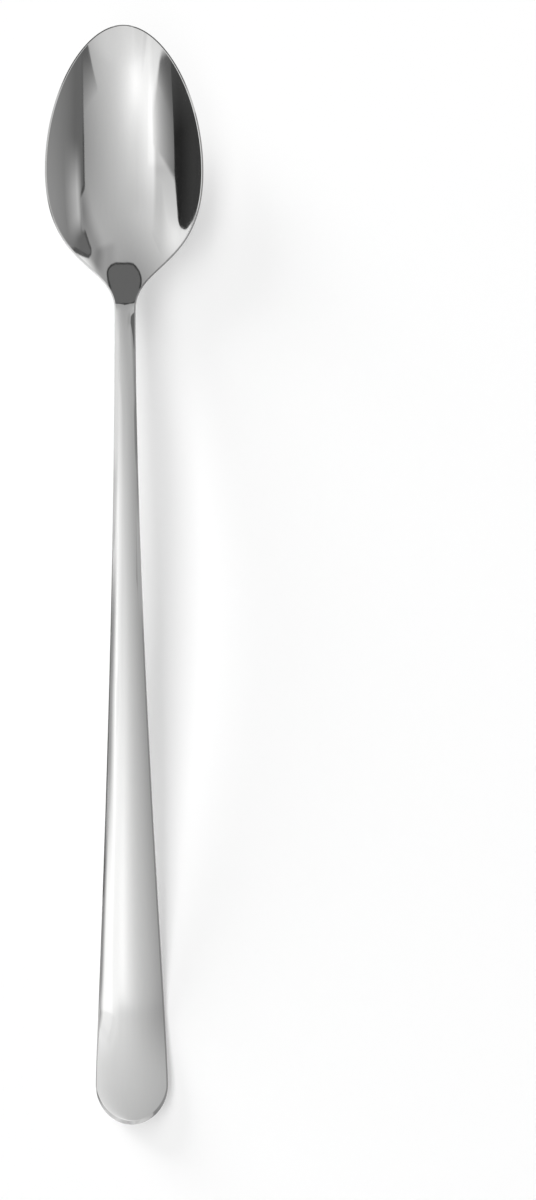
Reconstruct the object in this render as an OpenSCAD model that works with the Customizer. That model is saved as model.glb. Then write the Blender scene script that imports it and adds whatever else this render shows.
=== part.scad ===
// Long-handled sorbet spoon, stamped from one blank of stainless steel.
// It lies face up on a table: +Y runs from the handle's end to the tip of the bowl, +Z is up,
// and the origin is on the table under the middle of its length.

/* [Overall] */
// Length from the tip of the bowl to the end of the handle
overall_length = 200; // [170:1:240]

/* [Bowl] */
// Width of the bowl at its widest point
bowl_width = 28.8; // [24:0.1:34]
// Distance from the tip to the widest point
bowl_nose = 26.5; // [20:0.5:32]
// Distance from the widest point to the start of the neck
bowl_shoulder = 25.5; // [20:0.5:32]
// How much slimmer than an ellipse the nose is, as a share
nose_taper = 0.14; // [0:0.01:0.4]
// Height of the rim above the bottom of the bowl at the widest point
bowl_depth = 6.4; // [4:0.1:8]
// Thickness of the metal in the bowl
bowl_wall = 1.4; // [1:0.1:2]
// Height of the tip's upper face above the table
tip_height = 7.6; // [6:0.1:9]
// Slope of the bowl's face at the tip, in degrees
tip_angle = 23; // [15:1:40]

/* [Neck] */
// Width of the neck, where the spoon is narrowest
neck_width = 3.8; // [3:0.1:6]
// Thickness of the neck
neck_thickness = 3; // [2:0.1:4]
// Distance from the start of the neck back to the steepest point of the face
throat_lead = 4; // [2:0.5:6]
// Height of the face at its steepest point
throat_height = 7.2; // [5.5:0.1:9]
// Slope of the face at its steepest point, in degrees
throat_angle = 30; // [15:1:36]

/* [Handle] */
// Width of the handle at its widest point
handle_width = 13.2; // [9:0.1:18]
// Length of the rounded end of the handle
handle_end = 7.2; // [5:0.1:12]
// Distance from the start of the neck to the crest of the handle
crest_distance = 33; // [25:1:45]
// Height of the face at the crest
crest_height = 14.4; // [11:0.1:18]
// Distance from the end to the heel, where the handle touches the table
heel_distance = 20.5; // [12:0.5:30]
// Thickness of the handle at the heel
heel_thickness = 2.4; // [1.8:0.1:3.2]
// Thickness of the handle at its end
end_thickness = 2; // [1.4:0.1:2.8]
// Gap between the table and the underside of the upturned end
end_lift = 2; // [0.5:0.1:5]
// Slope of the face at the end, in degrees
end_angle = 13; // [5:1:20]
// Sideways slope of the crowned face beside the edge, in degrees
crown_angle = 24; // [10:1:30]
// Sideways slope of the face on the flatter end pad, in degrees
pad_crown_angle = 12; // [4:1:20]

/* [Edges] */
// Width of the bevel ground along the edges, seen from above
bevel_width = 0.25; // [0.15:0.05:0.4]
// Width of the bevel at the end of the handle
end_bevel = 0.8; // [0.3:0.1:1]
// Slope of the bevel, in degrees
bevel_angle = 40; // [30:1:45]

/* [Shape factors] */
// Fullness of the outline where the bowl leaves its widest point
shoulder_fullness = 0.7; // [0.5:0.01:0.9]
// Reach of the outline's sweep into the neck
flare_reach = 0.35; // [0.15:0.01:0.5]
// How long the handle stays slim beyond the neck
slim_reach = 0.42; // [0.2:0.01:0.6]
// How gently the handle reaches its full width
pad_reach = 0.06; // [0.03:0.01:0.4]

/* [Hidden] */
steel = "#c9cacb";

// Distances along the spoon, from the tip
neck_start = bowl_nose + bowl_shoulder;
throat = neck_start - throat_lead;
crest = neck_start + crest_distance;
heel = overall_length - heel_distance;
pad_start = overall_length - handle_end;

// Reach of the side profile's sweeps, as shares of the stretch that they belong to
even_reach = 0.34;
crest_reach = 0.45;
bend_reach = 0.18;
heel_reach = 0.08;

// Lengths over which one section changes into the next
crown_fade = 2;
pad_fade = 12;

// Largest shares of the metal that the crown and either bevel may take, and largest share of the half
// width that the bevel may take where the spoon closes at its ends
crown_share = 0.6;
bevel_share = 0.4;
end_share = 0.7;
tiny = 1e-9;

// Stations along the spoon and points across its face
nose_steps = 22;
shoulder_steps = 17;
handle_steps = 60;
end_steps = 12;
face_steps = 14;

// Smooth step from 0 to 1 while d goes from a to b
function ramp(a, b, d) =
    let (t = min(1, max(0, (d - a) / (b - a)))) t * t * (3 - 2 * t);

function mix(a, b, t) = a + (b - a) * t;

// A knot of a curve is [distance, value, slope, reach before, reach after].
// The cubic between two knots leaves and meets them at their slopes.
function cubic(k0, k1) =
    let (span = k1[0] - k0[0], r0 = k0[4] * span, r1 = k1[3] * span)
    [[k0[0], k0[1]], [k0[0] + r0, k0[1] + r0 * k0[2]], [k1[0] - r1, k1[1] - r1 * k1[2]], [k1[0], k1[1]]];

function cubic_point(c, t) =
    let (s = 1 - t) c[0] * s * s * s + c[1] * 3 * s * s * t + c[2] * 3 * s * t * t + c[3] * t * t * t;

function cubic_rate(c, t) =
    let (s = 1 - t) 3 * ((c[1] - c[0]) * s * s + (c[2] - c[1]) * 2 * s * t + (c[3] - c[2]) * t * t);

// The cubic's parameter at distance d, found by halving
function cubic_at(c, d, low = 0, high = 1, halvings = 32) =
    let (middle = (low + high) / 2)
    halvings == 0 ? middle :
    cubic_point(c, middle)[0] < d ? cubic_at(c, d, middle, high, halvings - 1) :
    cubic_at(c, d, low, middle, halvings - 1);

// [value, slope] of a curve through knots at distance d
function curve(knots, d, i = 0) =
    i < len(knots) - 2 && d > knots[i + 1][0] ? curve(knots, d, i + 1) :
    let (c = cubic(knots[i], knots[i + 1]), t = cubic_at(c, d), rate = cubic_rate(c, t))
    [cubic_point(c, t)[1], rate[1] / rate[0]];

// Half of the outline's width, from the widest point of the bowl to the handle's round end
outline_knots = [
    [bowl_nose, bowl_width / 2, 0, 0, shoulder_fullness],
    [neck_start, neck_width / 2, 0, flare_reach, slim_reach],
    [pad_start, handle_width / 2, 0, pad_reach, 0],
];

// Height of the face along the middle of the spoon
face_knots = [
    [0, tip_height, -tan(tip_angle), 0, even_reach],
    [bowl_nose, bowl_wall, 0, even_reach, even_reach],
    [throat, throat_height, tan(throat_angle), even_reach, bend_reach],
    [crest, crest_height, 0, crest_reach, crest_reach],
    [heel, heel_thickness, 0, heel_reach, even_reach],
    [overall_length, end_lift + end_thickness, tan(end_angle), even_reach, 0],
];

// [half width squared, half of its rate of change] of the outline at distance d
function outline(d) =
    d < bowl_nose ? nose_outline(1 - d / bowl_nose) :
    d > pad_start ? end_outline((d - pad_start) / handle_end) :
    let (w = curve(outline_knots, d)) [w[0] * w[0], w[0] * w[1]];

function nose_outline(s) =
    let (w2 = bowl_width * bowl_width / 4)
    [w2 * (1 - s * s) * (1 - nose_taper * s * s),
     w2 * s * (1 + nose_taper - 2 * nose_taper * s * s) / bowl_nose];

function end_outline(s) =
    let (w2 = handle_width * handle_width / 4) [w2 * (1 - s * s), -w2 * s / handle_end];

// Half width at which a point lies a given depth inside the outline
function inset(o, depth) =
    sqrt(max(0, o[0] + 2 * depth * depth - 2 * depth * sqrt(o[0] + depth * depth + o[1] * o[1])));

// Depth of a point inside the outline
function depth_inside(o, x) = max(0, o[0] - x * x) / (2 * sqrt(max(tiny, x * x + o[1] * o[1])));

function thickness(d) =
    d < neck_start ? mix(bowl_wall, neck_thickness, ramp(bowl_nose + bowl_shoulder / 2, neck_start, d)) :
    d < heel ? mix(neck_thickness, heel_thickness, ramp(neck_start, heel, d)) :
    mix(heel_thickness, end_thickness, ramp(heel, overall_length, d));

// Share of the change from the dished bowl to the crowned stem
function into_stem(d) = ramp(neck_start - crown_fade / 2, neck_start + crown_fade / 2, d);

function crown_slope(d) =
    tan(mix(crown_angle, pad_crown_angle, ramp(heel, heel + pad_fade, d))) * into_stem(d);

function bevel(d) =
    min(mix(bevel_width, end_bevel, ramp(pad_start, overall_length, d)),
        bevel_share * thickness(d) / tan(bevel_angle));

// How far the bowl stands above its middle line at half width x
function dish(d, x) = bowl_depth * pow(2 * x / bowl_width, 2) * (1 - into_stem(d));

// Places round a section: [share of the flat, depth in the bevel, face 1 or back -1]
face_places = [for (i = [0:face_steps]) [2 * i / face_steps - 1, 1, 1]];
places = concat(
    face_places,
    [[1, 0, 1], [1, 0, -1]],
    [for (p = face_places) [-p[0], 1, -1]],
    [[-1, 0, -1], [-1, 0, 1]]
);

// Closed ring of points round the spoon at distance d
function section(d) =
    let (
        o = outline(d),
        r = min(bevel(d), end_share * depth_inside(o, 0)),
        flat = inset(o, r),
        metal = thickness(d),
        middle = curve(face_knots, d)[0] - metal / 2,
        crown = min(crown_slope(d) * flat / 2, crown_share * metal)
    )
    [for (p = places)
        let (
            x = p[0] * inset(o, r * p[1]),
            level = min(abs(x), flat),
            drop = crown * pow(level / flat, 2),
            fall = tan(bevel_angle) * max(0, bevel(d) - depth_inside(o, x))
        )
        [x, overall_length / 2 - d, middle + dish(d, level) - drop / 2 + p[2] * ((metal - drop) / 2 - fall)]];

stations = concat(
    [for (i = [1:nose_steps]) bowl_nose * (1 - cos(90 * i / nose_steps))],
    [for (i = [1:shoulder_steps]) bowl_nose + bowl_shoulder * i / shoulder_steps],
    [for (i = [1:handle_steps]) mix(neck_start, pad_start, i / handle_steps)],
    [for (i = [1:end_steps - 1]) pad_start + handle_end * sin(90 * i / end_steps)]
);

// Upper and lower end of the wall at either end, where the rings close
function closing_pair(d) =
    let (metal = thickness(d), wall = metal / 2 - tan(bevel_angle) * bevel(d))
    [for (side = [1, -1]) [0, overall_length / 2 - d, curve(face_knots, d)[0] - metal / 2 + side * wall]];

// Skin over rings of points, closed on a pair of points at both ends, with its diagonals alike on both
// sides
module skin(rings, first, last) {
    n = len(rings[0]);
    m = len(rings);
    points = concat(first, [for (r = rings) each r], last);
    front = len(first) + n * m;
    function at(i, j) = len(first) + i * n + j % n;
    function leans_left(i, j) = rings[i][j][0] + rings[i][(j + 1) % n][0] < 0;
    // Which of the pair a place closes on
    function end(j) = places[j % n][2] > 0 ? 0 : 1;
    faces = concat(
        [for (j = [0:n - 1]) each concat(
            [[end(j), at(0, j + 1), at(0, j)]],
            end(j) == end(j + 1) ? [] : [[end(j), end(j + 1), at(0, j + 1)]])],
        [for (i = [0:m - 2], j = [0:n - 1]) each
            let (a = at(i, j), b = at(i, j + 1), c = at(i + 1, j + 1), e = at(i + 1, j))
            leans_left(i, j) ? [[a, b, e], [b, c, e]] : [[a, c, e], [a, b, c]]],
        [for (j = [0:n - 1]) each concat(
            [[front + end(j), at(m - 1, j), at(m - 1, j + 1)]],
            end(j) == end(j + 1) ? [] : [[front + end(j), at(m - 1, j + 1), front + end(j + 1)]])]
    );
    polyhedron(points, faces);
}

// The whole spoon: bowl, neck, stem and pad of one piece of metal
module spoon() {
    color(steel) skin([for (d = stations) section(d)], closing_pair(0), closing_pair(overall_length));
}

spoon();
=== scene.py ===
# A sorbet spoon of polished steel on a white table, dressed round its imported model.
import math

import bmesh
import bpy
from mathutils import Matrix, Vector


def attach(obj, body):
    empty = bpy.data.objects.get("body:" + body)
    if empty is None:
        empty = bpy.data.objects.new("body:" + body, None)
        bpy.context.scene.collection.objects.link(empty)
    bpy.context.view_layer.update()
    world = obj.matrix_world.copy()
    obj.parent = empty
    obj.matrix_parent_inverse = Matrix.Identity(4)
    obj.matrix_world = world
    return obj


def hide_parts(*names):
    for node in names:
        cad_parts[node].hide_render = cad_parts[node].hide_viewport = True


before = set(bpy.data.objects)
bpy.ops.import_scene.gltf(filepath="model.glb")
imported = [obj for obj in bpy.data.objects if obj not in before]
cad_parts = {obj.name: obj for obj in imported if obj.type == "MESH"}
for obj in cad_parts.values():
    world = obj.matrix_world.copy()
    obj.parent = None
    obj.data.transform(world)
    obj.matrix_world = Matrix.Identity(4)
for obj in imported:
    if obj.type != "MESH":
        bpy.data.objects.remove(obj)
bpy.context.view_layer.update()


# Spoon: bowl, neck, stem and rounded end of the handle in one.
# Blanked from a strip of stainless steel, stamped to shape in a press, ground round its edge and
# polished to a mirror. Nothing is fixed to it, and it lies on the table by its bowl and its heel.

# Sizes in millimetres. Distances run from the tip of the bowl
MM = 0.001
spoon_length = 200.0
bowl_width = 28.8
bowl_nose = 26.5
bowl_shoulder = 25.5
nose_taper = 0.14
bowl_depth = 6.4
bowl_wall = 1.4
tip_height, tip_slope = 7.6, math.tan(math.radians(23))
neck_width, neck_thickness = 3.8, 3.0
throat_lead, throat_height, throat_slope = 4.0, 7.2, math.tan(math.radians(30))
handle_width, handle_end = 13.2, 7.2
crest_distance, crest_height = 33.0, 14.4
heel_distance, heel_thickness = 20.5, 2.4
end_thickness, end_lift, end_slope = 2.0, 2.0, math.tan(math.radians(13))
crown_angle, pad_crown_angle = 24.0, 12.0
crown_fade, pad_fade = 2.0, 12.0
bevel_width, end_bevel, bevel_slope = 0.25, 0.8, math.tan(math.radians(40))
# The most that the bevel takes of a section's depth at the tip and the end
end_share = 0.7

neck_start = bowl_nose + bowl_shoulder
throat = neck_start - throat_lead
crest = neck_start + crest_distance
heel = spoon_length - heel_distance
pad_start = spoon_length - handle_end

# Reaches of the sweeps, as shares of the stretch between two knots
shoulder_fullness, flare_reach, slim_reach, pad_reach = 0.7, 0.35, 0.42, 0.06
even_reach, bend_reach, crest_reach, heel_reach = 0.34, 0.18, 0.45, 0.08

# Knots of the outline's half width and of the face's height: distance, value, slope, and the reach
# of the sweep before and after
outline_knots = [
    (bowl_nose, bowl_width / 2, 0, 0, shoulder_fullness),
    (neck_start, neck_width / 2, 0, flare_reach, slim_reach),
    (pad_start, handle_width / 2, 0, pad_reach, 0),
]
face_knots = [
    (0, tip_height, -tip_slope, 0, even_reach),
    (bowl_nose, bowl_wall, 0, even_reach, even_reach),
    (throat, throat_height, throat_slope, even_reach, bend_reach),
    (crest, crest_height, 0, crest_reach, crest_reach),
    (heel, heel_thickness, 0, heel_reach, even_reach),
    (spoon_length, end_lift + end_thickness, end_slope, even_reach, 0),
]


def ramp(start, end, d):
    t = min(1, max(0, (d - start) / (end - start)))
    return t * t * (3 - 2 * t)


def mix(a, b, share):
    return a + (b - a) * share


def sweep(knots, d, halvings=40):
    """Value and slope at distance d of the smooth curve through the knots."""
    pairs = zip(knots, knots[1:])
    k0, k1 = next((pair for pair in pairs if d <= pair[1][0]), (knots[-2], knots[-1]))
    span = k1[0] - k0[0]
    lead, tail = k0[4] * span, k1[3] * span
    points = [Vector(p) for p in (
        (k0[0], k0[1]), (k0[0] + lead, k0[1] + lead * k0[2]),
        (k1[0] - tail, k1[1] - tail * k1[2]), (k1[0], k1[1]))]
    low, high = 0.0, 1.0
    for _ in range(halvings):
        t = (low + high) / 2
        s = 1 - t
        at = points[0] * s**3 + points[1] * 3 * s * s * t + points[2] * 3 * s * t * t + points[3] * t**3
        low, high = (t, high) if at.x < d else (low, t)
    rate = ((points[1] - points[0]) * s * s + (points[2] - points[1]) * 2 * s * t
            + (points[3] - points[2]) * t * t)
    return at.y, rate.y / rate.x


def outline(d):
    """Half width squared, and half of its rate of change."""
    if d < bowl_nose:
        s, w2 = 1 - d / bowl_nose, bowl_width**2 / 4
        return (w2 * (1 - s * s) * (1 - nose_taper * s * s),
                w2 * s * (1 + nose_taper - 2 * nose_taper * s * s) / bowl_nose)
    if d > pad_start:
        s, w2 = (d - pad_start) / handle_end, handle_width**2 / 4
        return w2 * (1 - s * s), -w2 * s / handle_end
    half, slope = sweep(outline_knots, d)
    return half * half, half * slope


def inset_width(edge, depth):
    """Half width at which a point lies a given depth inside the outline."""
    room = edge[0] + 2 * depth**2 - 2 * depth * math.sqrt(edge[0] + depth**2 + edge[1]**2)
    return math.sqrt(max(0, room))


def depth_inside(edge, x, tiny=1e-9):
    return max(0, edge[0] - x * x) / (2 * math.sqrt(max(tiny, x * x + edge[1]**2)))


def thickness(d):
    if d < neck_start:
        return mix(bowl_wall, neck_thickness, ramp(bowl_nose + bowl_shoulder / 2, neck_start, d))
    if d < heel:
        return mix(neck_thickness, heel_thickness, ramp(neck_start, heel, d))
    return mix(heel_thickness, end_thickness, ramp(heel, spoon_length, d))


# Places round a section: share of the flat, depth in the bevel, and face 1 or back -1. Close rows
# beside the bevel's edges keep it crisp.
face_steps = 44
close_row = 0.985
bevel_rows = (0.93, 0.5, 0.07, 0)
shares = [2 * i / face_steps - 1 for i in range(face_steps + 1)]
face_places = [(share, 1, 1) for share in [-1, -close_row] + shares[1:-1] + [close_row, 1]]
edge_places = [(1, depth, 1) for depth in bevel_rows]
edge_places += [(1, depth, -1) for _, depth, _ in reversed(edge_places)]
places = (face_places + edge_places + [(-p[0], 1, -1) for p in face_places]
          + [(-1, p[1], -p[2]) for p in edge_places])


def section(d):
    """Points round the spoon at distance d, in metres."""
    face = sweep(face_knots, d)[0]
    metal = thickness(d)
    y = spoon_length / 2 - d
    bevel = mix(bevel_width, end_bevel, ramp(pad_start, spoon_length, d))
    if d in (0, spoon_length):
        wall = metal / 2 - bevel_slope * bevel
        return [Vector((0, y, face - metal / 2 + side * wall)) * MM for _, _, side in places]
    edge = outline(d)
    reach = min(bevel, end_share * depth_inside(edge, 0))
    flat = inset_width(edge, reach)
    into_stem = ramp(neck_start - crown_fade / 2, neck_start + crown_fade / 2, d)
    crown = math.tan(math.radians(mix(crown_angle, pad_crown_angle, ramp(heel, heel + pad_fade, d))))
    points = []
    for share, depth, side in places:
        x = share * inset_width(edge, reach * depth)
        level = min(abs(x), flat)
        drop = crown * into_stem * level * level / flat / 2
        dish = bowl_depth * (2 * level / bowl_width)**2 * (1 - into_stem)
        fall = bevel_slope * max(0, bevel - depth_inside(edge, x))
        z = face - metal / 2 + dish - drop / 2 + side * ((metal - drop) / 2 - fall)
        points.append(Vector((x, y, z)) * MM)
    return points


nose_steps, shoulder_steps, handle_steps, end_steps = 60, 56, 130, 40
quarter = math.pi / 2
stations = [bowl_nose * (1 - math.cos(quarter * i / nose_steps)) for i in range(nose_steps + 1)]
stations += [bowl_nose + bowl_shoulder * i / shoulder_steps for i in range(1, shoulder_steps + 1)]
stations += [mix(neck_start, pad_start, i / handle_steps) for i in range(1, handle_steps + 1)]
stations += [pad_start + handle_end * math.sin(quarter * i / end_steps) for i in range(1, end_steps)]
stations += [spoon_length]

# A sheet of squares is rolled round the sections, and its seam and ends are merged
merge_distance = 1e-7
sheet = bmesh.new()
bmesh.ops.create_grid(sheet, x_segments=len(places), y_segments=len(stations) - 1, size=0.5)
rings = [section(d) for d in stations]
for v in sheet.verts:
    station = round((v.co.y + 0.5) * (len(stations) - 1))
    place = round((v.co.x + 0.5) * len(places))
    v.co = rings[station][place % len(places)]
bmesh.ops.remove_doubles(sheet, verts=sheet.verts, dist=merge_distance)
bmesh.ops.recalc_face_normals(sheet, faces=sheet.faces)
for f in sheet.faces:
    f.smooth = True
spoon_mesh = bpy.data.meshes.new("spoon_polished")
sheet.to_mesh(spoon_mesh)
sheet.free()
spoon = bpy.data.objects.new("spoon_polished", spoon_mesh)
bpy.context.scene.collection.objects.link(spoon)


def linear(colour):
    """sRGB hex to linear RGBA."""
    parts = [int(colour[i:i + 2], 16) / 255 for i in (1, 3, 5)]
    return [c / 12.92 if c <= 0.04045 else ((c + 0.055) / 1.055)**2.4 for c in parts] + [1]


def node(tree, kind, inputs, **settings):
    """Adds a node with its settings, and sets or links its inputs."""
    added = tree.nodes.new(kind)
    for name, value in settings.items():
        setattr(added, name, value)
    for name, value in inputs.items():
        if isinstance(value, bpy.types.NodeSocket):
            tree.links.new(value, added.inputs[name])
        else:
            added.inputs[name].default_value = value
    return added


def blank_material(name):
    """A new material without nodes, and its tree."""
    material = bpy.data.materials.new(name)
    material.use_nodes = True
    material.node_tree.nodes.clear()
    return material, material.node_tree


# Polished stainless steel: a bright, almost neutral mirror. The buffing wheel leaves it very slightly
# wavy and with faint lines along the spoon, so that reflections are clear but not glassy.
steel, tree = blank_material("polished_stainless_steel")
place = node(tree, "ShaderNodeTexCoord", {}).outputs["Object"]
# Buffing lines are about 0.05 mm apart, and are drawn 0.5 mm apart so that they show
line_width, line_length, line_height = 0.5 * MM, 30 * MM, 0.0002 * MM
along = node(tree, "ShaderNodeMapping", {
    "Vector": place, "Scale": (1 / line_width, 1 / line_length, 1 / line_width)}).outputs["Vector"]
lines = node(tree, "ShaderNodeTexNoise", {
    "Vector": along, "Scale": 1.0, "Detail": 3.0, "Roughness": 0.6}).outputs[0]
wave_width, wave_height = 9 * MM, 0.004 * MM
waves = node(tree, "ShaderNodeTexNoise", {
    "Vector": place, "Scale": 1 / wave_width, "Detail": 1.0}).outputs[0]
roughness = node(tree, "ShaderNodeMapRange", {
    "Value": lines, "From Min": 0.3, "From Max": 0.7, "To Min": 0.035, "To Max": 0.06}).outputs[0]
colour = node(tree, "ShaderNodeMix", {
    "Factor": lines, "A": linear("#d5d5d5"), "B": linear("#d9d9d8")}, data_type="RGBA").outputs["Result"]
wavy = node(tree, "ShaderNodeBump", {"Height": waves, "Distance": wave_height, "Strength": 1.0}).outputs[0]
lined = node(tree, "ShaderNodeBump", {
    "Height": lines, "Distance": line_height, "Strength": 1.0, "Normal": wavy}).outputs[0]
shader = node(tree, "ShaderNodeBsdfPrincipled", {
    "Base Color": colour, "Metallic": 1.0, "Roughness": roughness, "Normal": lined}).outputs[0]
node(tree, "ShaderNodeOutputMaterial", {"Surface": shader})
spoon_mesh.materials.append(steel)

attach(spoon, "root")
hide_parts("spoon")


# Table top: a sheet of matt white board, far wider than the spoon, laid flat under it.
# It takes the spoon's soft shadow. Part of its white is a glow of its own, and that part grows past the
# neck into painted light, which washes out the shadow there.
table_side = 40.0
board = bmesh.new()
bmesh.ops.create_grid(board, x_segments=1, y_segments=1, size=table_side / 2)
table_mesh = bpy.data.meshes.new("table_top")
board.to_mesh(table_mesh)
board.free()
table = bpy.data.objects.new("table_top", table_mesh)
bpy.context.scene.collection.objects.link(table)


def parts_of_place(tree):
    """X, Y and Z of the place in the object."""
    place = node(tree, "ShaderNodeTexCoord", {}).outputs["Object"]
    return node(tree, "ShaderNodeSeparateXYZ", {"Vector": place}).outputs


def seen_by_eye(tree):
    """1 for what the camera sees, straight or by way of the steel."""
    ray = node(tree, "ShaderNodeLightPath", {}).outputs
    seen = ray["Is Camera Ray"]
    for kind in ("Is Glossy Ray", "Is Transmission Ray"):
        seen = node(tree, "ShaderNodeMath", {0: seen, 1: ray[kind]}, operation="MAXIMUM").outputs[0]
    return seen


# For changes that start and end gently
soft = {"interpolation_type": "SMOOTHSTEP"}

# Matt white board without any sheen, with an even glow for the eye and painted light past the neck
painted_light_board, tree = blank_material("white_board_with_painted_light")
side = parts_of_place(tree)
white = node(tree, "ShaderNodeEmission", {"Strength": 1.0}).outputs[0]
matt = node(tree, "ShaderNodeBsdfDiffuse", {"Color": linear("#fdfdfd")}).outputs[0]
# Painted light: the glow's share grows past the neck and washes out the spoon's shadow beside the bowl
painted_light_share = node(tree, "ShaderNodeMapRange", {
    "Value": side["Y"], "From Min": 58 * MM, "From Max": 84 * MM, "To Min": 0.45, "To Max": 0.9},
    **soft).outputs[0]
share = node(tree, "ShaderNodeMath", {0: seen_by_eye(tree), 1: painted_light_share}, operation="MULTIPLY").outputs[0]
shader = node(tree, "ShaderNodeMixShader", {0: share, 1: matt, 2: white}).outputs[0]
node(tree, "ShaderNodeOutputMaterial", {"Surface": shader})
table_mesh.materials.append(painted_light_board)


# Light tent: a dome of white cloth over the table, lit from its left and near side.
# The steel shows it. The light that falls on the table is left to the lamps and the room.
tent_radius = 6.0
tent_foot = -0.2
cloth = bmesh.new()
bmesh.ops.create_icosphere(cloth, subdivisions=4, radius=tent_radius)
bmesh.ops.bisect_plane(cloth, geom=cloth.verts[:] + cloth.edges[:] + cloth.faces[:],
                       plane_co=(0, 0, tent_foot), plane_no=(0, 0, -1), clear_outer=True)


def reflected_only(name, shape, materials):
    """Makes an object of a mesh that only the steel sees."""
    mesh = bpy.data.meshes.new(name)
    shape.to_mesh(mesh)
    shape.free()
    for material in materials:
        mesh.materials.append(material)
    thing = bpy.data.objects.new(name, mesh)
    bpy.context.scene.collection.objects.link(thing)
    thing.visible_camera = False
    thing.visible_diffuse = False
    thing.visible_transmission = False
    thing.visible_shadow = False


def lit_surface(tree, level, cover=None):
    """Ends a tree with a surface of the given brightness, clear where its cover is thin."""
    shader = node(tree, "ShaderNodeEmission", {"Strength": level}).outputs[0]
    if cover is not None:
        clear = node(tree, "ShaderNodeBsdfTransparent", {}).outputs[0]
        shader = node(tree, "ShaderNodeMixShader", {0: cover, 1: clear, 2: shader}).outputs[0]
    node(tree, "ShaderNodeOutputMaterial", {"Surface": shader})


# Lit white cloth: brightest to the near left, where a lamp behind it makes a soft round spot, and dimmer
# to the far right. Brightness is given as the steel shows it, for each direction from the spoon.
steel_reflectance = 0.68
lit_cloth, tree = blank_material("lit_white_cloth")
place = node(tree, "ShaderNodeTexCoord", {}).outputs["Object"]
towards = node(tree, "ShaderNodeVectorMath", {0: place}, operation="NORMALIZE").outputs[0]
side = node(tree, "ShaderNodeSeparateXYZ", {"Vector": towards}).outputs
nearest = -0.6
ahead = node(tree, "ShaderNodeMath", {0: side["Y"], 1: nearest}, operation="MAXIMUM").outputs[0]
# Brightness along the middle, its growth to the right and the bend of that growth, as sums of powers of
# the way ahead, highest power first. A least squares fit to tones of the photographed steel gave these
# terms and most of the cloth's numbers down to its foot, and the rest were set one by one.
middle_terms = (-0.168, -0.137, 0.548)
growth_terms = (0.713, -0.123, -0.262)
bend_terms = (0.606, -0.102)
sums = []
for terms in (middle_terms, growth_terms, bend_terms):
    total = terms[0]
    for term in terms[1:]:
        total = node(tree, "ShaderNodeMath", {
            0: ahead, 1: total, 2: term}, operation="MULTIPLY_ADD").outputs[0]
    sums.append(total)
level, growth, bend = sums
growth = node(tree, "ShaderNodeMath", {0: bend, 1: side["X"], 2: growth}, operation="MULTIPLY_ADD").outputs[0]
level = node(tree, "ShaderNodeMath", {0: growth, 1: side["X"], 2: level}, operation="MULTIPLY_ADD").outputs[0]
# The lamp's wide glow in the cloth, its brightest middle and a glow at the far left: direction,
# tightness and strength
lamp_spots = [
    (Vector((-0.25, -0.45, 0.857)), 20.0, 0.283),
    (Vector((-0.27, -0.46, 0.846)), 110.0, 0.15),
    (Vector((-0.78, 0.5, 0.38)), 110.0, 0.12),
]
for way, tightness, strength in lamp_spots:
    spot = node(tree, "ShaderNodeVectorMath", {
        0: towards, 1: way.normalized()}, operation="DOT_PRODUCT").outputs["Value"]
    spot = node(tree, "ShaderNodeMath", {0: spot, 1: 0.0}, operation="MAXIMUM").outputs[0]
    spot = node(tree, "ShaderNodeMath", {0: spot, 1: tightness}, operation="POWER").outputs[0]
    level = node(tree, "ShaderNodeMath", {
        0: spot, 1: strength, 2: level}, operation="MULTIPLY_ADD").outputs[0]
# Brighter and dimmer parts: what each adds, and the stretches of direction over which it comes in
tone_changes = {
    "bright left": (0.356, ("X", -0.262, -0.621), ("Y", 0.439, -0.451)),
    "streak at the left": (0.085, ("X", -0.485, -0.53), ("Y", 0.06, 0.0), ("Y", -0.48, -0.36)),
    "shade at the far right": (-0.17, ("X", 0.3, 0.5), ("Y", 0.05, 0.35), ("Z", 0.75, 0.6)),
    "bright foot of that shade": (0.5, ("X", 0.3, 0.5), ("Y", 0.05, 0.35), ("Z", 0.53, 0.42)),
    "dim far left": (-0.035, ("X", 0.1, -0.3), ("Y", 0.0, 0.25), ("Y", 0.45, 0.25)),
    "dim right of the far end": (-0.085, ("X", 0.1, 0.3), ("X", 0.55, 0.42), ("Y", 0.6, 0.66)),
}
for change, *stretches in tone_changes.values():
    for axis, start, full in stretches:
        share = node(tree, "ShaderNodeMapRange", {
            "Value": side[axis], "From Min": start, "From Max": full}, **soft).outputs[0]
        change = node(tree, "ShaderNodeMath", {0: change, 1: share}, operation="MULTIPLY").outputs[0]
    level = node(tree, "ShaderNodeMath", {0: level, 1: change}, operation="ADD").outputs[0]
# The nearest part is more even from side to side
even = node(tree, "ShaderNodeMapRange", {
    "Value": side["X"], "From Min": -0.2, "From Max": 0.3, "To Min": -0.065, "To Max": 0.05}).outputs[0]
near = node(tree, "ShaderNodeMapRange", {
    "Value": side["Y"], "From Min": -0.5, "From Max": -0.57}, **soft).outputs[0]
level = node(tree, "ShaderNodeMath", {0: even, 1: near, 2: level}, operation="MULTIPLY_ADD").outputs[0]
level = node(tree, "ShaderNodeMath", {0: level, 1: steel_reflectance}, operation="DIVIDE").outputs[0]
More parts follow.
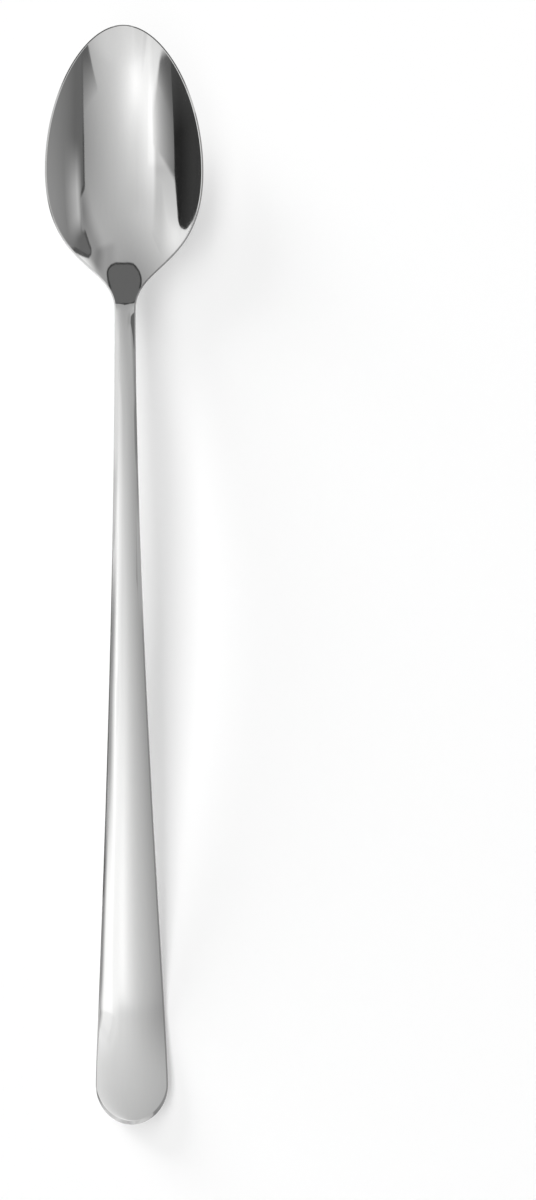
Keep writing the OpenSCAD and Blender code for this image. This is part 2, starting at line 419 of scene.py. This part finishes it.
# The foot of the cloth is grey, darker for a stretch of the near side, and darkest at the far end
near = node(tree, "ShaderNodeMapRange", {
    "Value": side["Y"], "From Min": -0.08, "From Max": -0.2, "To Min": 0.75, "To Max": 0.38}).outputs[0]
end = node(tree, "ShaderNodeMapRange", {
    "Value": side["Y"], "From Min": -0.3, "From Max": -0.45, "To Min": 0.38, "To Max": 0.75}).outputs[0]
foot = node(tree, "ShaderNodeMath", {0: near, 1: end}, operation="MAXIMUM").outputs[0]
far = node(tree, "ShaderNodeMapRange", {
    "Value": side["Y"], "From Min": 0.35, "From Max": 0.5, "To Min": 1.2, "To Max": 0.15}).outputs[0]
foot = node(tree, "ShaderNodeMath", {0: foot, 1: far}, operation="MINIMUM").outputs[0]
foot = node(tree, "ShaderNodeMapRange", {
    "Value": side["Z"], "From Min": 0.26, "From Max": 0.2, "To Min": 2.0, "To Max": foot}).outputs[0]
level = node(tree, "ShaderNodeMath", {0: level, 1: foot}, operation="MINIMUM").outputs[0]
lit_surface(tree, level)
reflected_only("light_tent", cloth, [lit_cloth])


# Left flags: a low black card that stands beside the spoon, and above it a strip of grey gauze that
# thins upwards. They keep the lamp behind the tent from whitening the whole bowl.

def upright(corners, rounding, hem=0.0):
    """A flat sheet with rounded corners, given in millimetres, and a hem of its second material."""
    sheet = bmesh.new()
    sheet.faces.new([sheet.verts.new(Vector(c) * MM) for c in corners])
    bmesh.ops.bevel(sheet, geom=sheet.verts[:], offset=rounding * MM, segments=8, profile=0.5,
                    affect="VERTICES", material=-1)
    if hem:
        rim = bmesh.ops.inset_region(sheet, faces=sheet.faces[:], thickness=hem * MM, use_boundary=True)
        for f in rim["faces"]:
            f.material_index = 1
    return sheet


# Black card: almost black, a little paler low down and at its near end, where it catches light
black_card, tree = blank_material("black_card")
side = parts_of_place(tree)
level = node(tree, "ShaderNodeMapRange", {
    "Value": side["Z"], "From Min": 42 * MM, "From Max": 68 * MM,
    "To Min": 0.056, "To Max": 0.025}).outputs[0]
near = node(tree, "ShaderNodeMapRange", {
    "Value": side["Y"], "From Min": 62 * MM, "From Max": -20 * MM, "To Min": 0.0, "To Max": 0.14}).outputs[0]
level = node(tree, "ShaderNodeMath", {0: level, 1: near}, operation="ADD").outputs[0]
lit_surface(tree, level)
black_card_place = -130
black_card_outline = [
    (40, 52), (56, 36), (76, 24), (94, 24), (115, 40), (125, 50), (127.5, 64), (123, 71), (101, 80.5),
    (86, 86.5), (30, 88), (14, 89), (24, 66)]
reflected_only("left_black_card", upright(
    [(black_card_place, y, z) for y, z in black_card_outline], rounding=4), [black_card])

# Grey gauze: a grey veil, dense along its lower edge and thinner upwards and towards its far end
gauze_grey, gauze_falloff = 0.147, 0.59
end_lean, fold_lean, cut_lean = 0.35, 1.1, 0.5
grey_gauze, tree = blank_material("grey_gauze")
side = parts_of_place(tree)
thin = node(tree, "ShaderNodeMapRange", {
    "Value": side["Z"], "From Min": 190 * MM, "From Max": 90 * MM}).outputs[0]
thin = node(tree, "ShaderNodeMath", {0: thin, 1: gauze_falloff}, operation="POWER").outputs[0]
weave = node(tree, "ShaderNodeMapRange", {
    "Value": side["Y"], "From Min": 30 * MM, "From Max": 80 * MM, "To Min": 0.955, "To Max": 0.89}).outputs[0]
thin = node(tree, "ShaderNodeMath", {0: thin, 1: weave}, operation="MULTIPLY").outputs[0]
top = node(tree, "ShaderNodeMapRange", {
    "Value": side["Z"], "From Min": 192 * MM, "From Max": 160 * MM}, **soft).outputs[0]
bottom = node(tree, "ShaderNodeMapRange", {
    "Value": side["Z"], "From Min": 95 * MM, "From Max": 140 * MM}, **soft).outputs[0]
end = node(tree, "ShaderNodeMapRange", {
    "Value": side["Y"], "From Min": 70 * MM, "From Max": 180 * MM, "To Min": 0.45, "To Max": 0.07}).outputs[0]
veil = node(tree, "ShaderNodeMath", {0: bottom, 1: end}, operation="MULTIPLY").outputs[0]
edge = node(tree, "ShaderNodeMapRange", {
    "Value": side["Y"], "From Min": 85 * MM, "From Max": 138 * MM, "To Min": 0.45, "To Max": 0.0}).outputs[0]
veil = node(tree, "ShaderNodeMath", {0: veil, 1: edge}, operation="MAXIMUM").outputs[0]
veil = node(tree, "ShaderNodeMath", {0: veil, 1: top}, operation="MULTIPLY").outputs[0]
lean = node(tree, "ShaderNodeMath", {
    0: side["Z"], 1: end_lean, 2: side["Y"]}, operation="MULTIPLY_ADD").outputs[0]
far = node(tree, "ShaderNodeMapRange", {
    "Value": lean, "From Min": 116 * MM, "From Max": 123 * MM}, **soft).outputs[0]
cover = node(tree, "ShaderNodeMix", {"Factor": far, "A": thin, "B": veil}).outputs[0]
fold = node(tree, "ShaderNodeMath", {
    0: side["Y"], 1: fold_lean, 2: side["Z"]}, operation="MULTIPLY_ADD").outputs[0]
fold = node(tree, "ShaderNodeMapRange", {
    "Value": fold, "From Min": 150 * MM, "From Max": 112 * MM, "To Min": 1.0, "To Max": 0.0}).outputs[0]
clearness = node(tree, "ShaderNodeMath", {0: 1.0, 1: cover}, operation="SUBTRACT").outputs[0]
clearness = node(tree, "ShaderNodeMath", {0: clearness, 1: fold}, operation="MULTIPLY").outputs[0]
# Its near edge is soft above and sharp below, and past it hangs a thinner piece
reach = node(tree, "ShaderNodeMapRange", {
    "Value": side["Z"], "From Min": 130 * MM, "From Max": 185 * MM,
    "To Min": -1 * MM, "To Max": 30 * MM}).outputs[0]
near = node(tree, "ShaderNodeMapRange", {
    "Value": side["Y"], "From Min": -9 * MM, "From Max": reach}, **soft).outputs[0]
cut = node(tree, "ShaderNodeMath", {
    0: side["Z"], 1: cut_lean, 2: side["Y"]}, operation="MULTIPLY_ADD").outputs[0]
cut = node(tree, "ShaderNodeMapRange", {"Value": cut, "From Min": 53 * MM, "From Max": 60 * MM}).outputs[0]
near = node(tree, "ShaderNodeMath", {0: near, 1: cut}, operation="MULTIPLY").outputs[0]
low = node(tree, "ShaderNodeMapRange", {
    "Value": side["Y"], "From Min": -62 * MM, "From Max": -40 * MM, "To Min": 1.0, "To Max": 0.87}).outputs[0]
past = node(tree, "ShaderNodeMapRange", {
    "Value": side["Z"], "From Min": 195 * MM, "From Max": 165 * MM, "To Min": 1.0, "To Max": low}).outputs[0]
clearness = node(tree, "ShaderNodeMix", {"Factor": near, "A": past, "B": clearness}).outputs[0]
cover = node(tree, "ShaderNodeMath", {0: 1.0, 1: clearness}, operation="SUBTRACT").outputs[0]
lit_surface(tree, gauze_grey, cover)
left_gauze_place = -132
left_gauze_outline = [(-70, 60), (200, 60), (200, 200), (-70, 200)]
reflected_only("left_gauze", upright(
    [(left_gauze_place, y, z) for y, z in left_gauze_outline], rounding=2), [grey_gauze])


# Right card: a sheet of grey board with a dark band glued along its edge, which stands at the right of
# the spoon, and a patch of light on its far half. A scrap of gauze hangs over its near end.

# Grey board: mid grey, paler towards the table, with the patch of light
grey_board, tree = blank_material("grey_board")
side = parts_of_place(tree)
low = node(tree, "ShaderNodeMapRange", {
    "Value": side["Z"], "From Min": 95 * MM, "From Max": 30 * MM, "To Min": 0.184, "To Max": 0.36}).outputs[0]
near = node(tree, "ShaderNodeMapRange", {
    "Value": side["Y"], "From Min": 58 * MM, "From Max": 103 * MM, "To Min": 0.0, "To Max": 0.5},
    **soft).outputs[0]
far = node(tree, "ShaderNodeMapRange", {
    "Value": side["Y"], "From Min": 160 * MM, "From Max": 122 * MM}, **soft).outputs[0]
top = node(tree, "ShaderNodeMapRange", {
    "Value": side["Z"], "From Min": 119 * MM, "From Max": 102 * MM}).outputs[0]
fade = node(tree, "ShaderNodeMapRange", {
    "Value": side["Z"], "From Min": 66 * MM, "From Max": 100 * MM, "To Min": 0.1, "To Max": 1.0}).outputs[0]
patch = node(tree, "ShaderNodeMath", {0: near, 1: far}, operation="MULTIPLY").outputs[0]
patch = node(tree, "ShaderNodeMath", {0: patch, 1: top}, operation="MULTIPLY").outputs[0]
level = node(tree, "ShaderNodeMath", {0: patch, 1: fade, 2: low}, operation="MULTIPLY_ADD").outputs[0]
end = node(tree, "ShaderNodeMapRange", {
    "Value": side["Y"], "From Min": 146 * MM, "From Max": 160 * MM, "To Min": 1.0, "To Max": 0.2}).outputs[0]
level = node(tree, "ShaderNodeMath", {0: level, 1: end}, operation="MINIMUM").outputs[0]
lit_surface(tree, level)

# Dark band: dark grey, paler at its near end and where the patch of light crosses it
dark_band, tree = blank_material("dark_band")
side = parts_of_place(tree)
dark = node(tree, "ShaderNodeMapRange", {
    "Value": side["Y"], "From Min": 40 * MM, "From Max": 58 * MM, "To Min": 0.168, "To Max": 0.11}).outputs[0]
near = node(tree, "ShaderNodeMapRange", {
    "Value": side["Y"], "From Min": 104 * MM, "From Max": 110 * MM, "To Min": 0.0, "To Max": 0.26}).outputs[0]
far = node(tree, "ShaderNodeMapRange", {
    "Value": side["Y"], "From Min": 160 * MM, "From Max": 150 * MM}).outputs[0]
level = node(tree, "ShaderNodeMath", {0: near, 1: far, 2: dark}, operation="MULTIPLY_ADD").outputs[0]
pale = node(tree, "ShaderNodeMapRange", {
    "Value": side["Y"], "From Min": -10 * MM, "From Max": -50 * MM, "To Min": 0.0, "To Max": 0.22}).outputs[0]
level = node(tree, "ShaderNodeMath", {0: level, 1: pale}, operation="ADD").outputs[0]
lit_surface(tree, level)
right_card_place, band_width = 130, 7
right_card_outline = [
    (-200, -80), (60, -80), (120, 20), (150, 58), (165, 76), (190, 99), (213, 121), (216, 138), (205, 142),
    (157, 123), (149, 116), (109, 117), (101, 132), (55, 131), (10, 123), (-200, 86)]
reflected_only("right_card", upright(
    [(right_card_place, y, z) for y, z in right_card_outline], rounding=3.5, hem=band_width),
    [grey_board, dark_band])

# Near gauze: a grey veil that thins upwards and to the far side
near_gauze_grey, near_gauze_lean = 0.16, 1.6
near_gauze, tree = blank_material("near_gauze")
side = parts_of_place(tree)
lean = node(tree, "ShaderNodeMath", {
    0: side["Y"], 1: near_gauze_lean, 2: side["Z"]}, operation="MULTIPLY_ADD").outputs[0]
thin = node(tree, "ShaderNodeMapRange", {
    "Value": lean, "From Min": 185 * MM, "From Max": 116 * MM}).outputs[0]
near = node(tree, "ShaderNodeMapRange", {
    "Value": side["Y"], "From Min": -28 * MM, "From Max": -23 * MM}, **soft).outputs[0]
cover = node(tree, "ShaderNodeMath", {0: thin, 1: near}, operation="MULTIPLY").outputs[0]
lit_surface(tree, near_gauze_grey, cover)
right_gauze_place = 132
right_gauze_outline = [(-30, 90), (50, 90), (50, 215), (-30, 215)]
reflected_only("right_gauze", upright(
    [(right_gauze_place, y, z) for y, z in right_gauze_outline], rounding=2), [near_gauze])


# Neck flags: two small pieces of dark card, cut to shape and held close to the right of neck and throat.
# They darken the right edge of the stem where it leaves the bowl.

# Dull card: an even dark grey
dull_grey = 0.17
dull_card, tree = blank_material("dull_card")
lit_surface(tree, dull_grey)
neck_flag_place, throat_flag_place = 11, 5
neck_flag_outline = [(47, 12), (66, 12), (66, 29), (58, 22.5), (47, 19.5)]
throat_flag_outline = [(46, 10), (61, 10), (61, 23), (55.5, 17.5), (49, 15), (46, 14.2)]
reflected_only("neck_flag", upright(
    [(neck_flag_place, y, z) for y, z in neck_flag_outline], rounding=1), [dull_card])
reflected_only("throat_flag", upright(
    [(throat_flag_place, y, z) for y, z in throat_flag_outline], rounding=0.5), [dull_card])


# Handle strips: narrow pieces of dark, grey and white gauze, held close beside the handle, and one farther
# off beside its heel. They tone the handle's edges, and fade at their tops and ends.

# Each has a name, a brightness, a place across and a slope, then its bottom, its top, the height up to which
# it is full and how much it covers, and its near and far end, each with the place from which it is full
strips = [
    ("low_strip", 0.1, -16, -0.245, (6, 32.5, 30, 0.8), (-88, -78), (-42, -58)),
    ("grey_strip", 0.1, -15, -0.15, (6, 33, 26.5, 0.72), (-66, -35), (12, -12)),
    ("pale_strip", 1.06, -14, 0.085, (6, 37, 30, 0.85), (16, 26), (66, 52)),
    ("dim_strip", 0.56, 14, 0.0, (6, 31, 28, 0.92), (-14, -4), (18, 8)),
    ("dark_strip", 0.27, 14, 0.0, (6, 28.5, 25.5, 0.9), (20, 26), (38, 32)),
    ("thin_strip", 1.4, -17, 0.0, (20, 90, 30, 0.35), (-14, 4), (52, 42)),
    ("white_strip", 1.5, -18, 0.0, (21, 38, 33, 0.9), (-60, -48), (-18, -28)),
    ("heel_strip", 0.1, -128, 0.0, (6, 292, 198, 0.125), (-102, -92), (-66, -76)),
]
for name, brightness, x, slope, (bottom, top, full, most), near_end, far_end in strips:
    gauze, tree = blank_material(name)
    side = parts_of_place(tree)
    lean = node(tree, "ShaderNodeMath", {
        0: side["Y"], 1: slope, 2: side["Z"]}, operation="MULTIPLY_ADD").outputs[0]
    cover = node(tree, "ShaderNodeMapRange", {
        "Value": lean, "From Min": top * MM, "From Max": full * MM, "To Max": most}).outputs[0]
    for edge, inside in (near_end, far_end):
        fade = node(tree, "ShaderNodeMapRange", {
            "Value": side["Y"], "From Min": edge * MM, "From Max": inside * MM}, **soft).outputs[0]
        cover = node(tree, "ShaderNodeMath", {0: cover, 1: fade}, operation="MULTIPLY").outputs[0]
    lit_surface(tree, brightness, cover)
    near_y, far_y = near_end[0], far_end[0]
    reflected_only(name, upright([
        (x, near_y, bottom), (x, far_y, bottom),
        (x, far_y, top - slope * far_y), (x, near_y, top - slope * near_y)], rounding=1), [gauze])


# Far opening: a rounded slit cut in the far side of the tent, with a sewn hem.
# The dim room shows in it, and the bowl's throat shows it as a dark patch at the neck.

# Dim room: an even mid grey. Dark hem: the same cloth doubled, which lets less light through
dim_room, tree = blank_material("dim_room")
lit_surface(tree, linear("#747474")[0])
dark_hem, tree = blank_material("dark_hem")
lit_surface(tree, linear("#484848")[0])
opening_place, hem_width = 624, 20
opening_outline = [
    (125, 265), (150, 297), (185, 340), (208, 385), (207, 424), (175, 463), (120, 489), (60, 494),
    (-60, 494), (-125, 481), (-160, 450), (-192, 408), (-206, 360), (-200, 322), (-180, 293), (-160, 265)]
reflected_only("far_opening", upright(
    [(x, opening_place, z) for x, z in opening_outline], rounding=13, hem=hem_width), [dim_room, dark_hem])


# Lamps: a long soft box above the left side, and a low one at the far left, which draws the shadow out to
# the near right. The steel shows the tent and not the lamps.

# Name, shape, size, power, direction and distance
soft_boxes = [
    ("long_soft_box", "RECTANGLE", (12.8, 2.0), 286.0, Vector((-0.438, 0, 0.899)), 4.0),
    ("low_soft_box", "DISK", (2.56, 2.56), 338.0, Vector((-0.689, 0.689, 0.225)), 6.0),
]
for name, shape, size, power, way, distance in soft_boxes:
    soft_box = bpy.data.lights.new(name, "AREA")
    soft_box.shape = shape
    soft_box.size, soft_box.size_y = size
    soft_box.energy = power
    lamp = bpy.data.objects.new(name, soft_box)
    bpy.context.scene.collection.objects.link(lamp)
    lamp.location = way * distance
    along = Vector((0, 1, 0))
    back = way.normalized()
    up = back.cross(along).normalized()
    lamp.rotation_euler = Matrix((along - back * along.dot(back), up, back)).transposed().to_euler()
    lamp.visible_glossy = False


# Room: pale walls, which send an even, weak light from all round.
# The camera sees them white past the table's edge.
room_light, room_white = 0.1, 1.0
room = bpy.data.worlds.new("pale_room")
bpy.context.scene.world = room
room.use_nodes = True
tree = room.node_tree
tree.nodes.clear()
strength = node(tree, "ShaderNodeMapRange", {
    "Value": seen_by_eye(tree), "To Min": room_light, "To Max": room_white}).outputs[0]
shader = node(tree, "ShaderNodeBackground", {"Strength": strength, "Color": (1, 1, 1, 1)}).outputs[0]
node(tree, "ShaderNodeOutputWorld", {"Surface": shader})


# Camera: on a stand straight above, square to the table, with the spoon at the left of an upright frame.
# A long lens shows the spoon almost without perspective.
camera_height = 1.2
camera_place, camera_turn = (0.02551, -0.00463), -0.444
frame_long_side = 0.2192
camera_data = bpy.data.cameras.new("camera")
camera_data.sensor_width = 36.0
camera_data.lens = camera_data.sensor_width * camera_height / frame_long_side
camera = bpy.data.objects.new("camera", camera_data)
bpy.context.scene.collection.objects.link(camera)
camera.location = (*camera_place, camera_height)
camera.rotation_euler = (0, 0, math.radians(camera_turn))
bpy.context.scene.camera = camera
bpy.context.scene.view_settings.view_transform = "Standard"
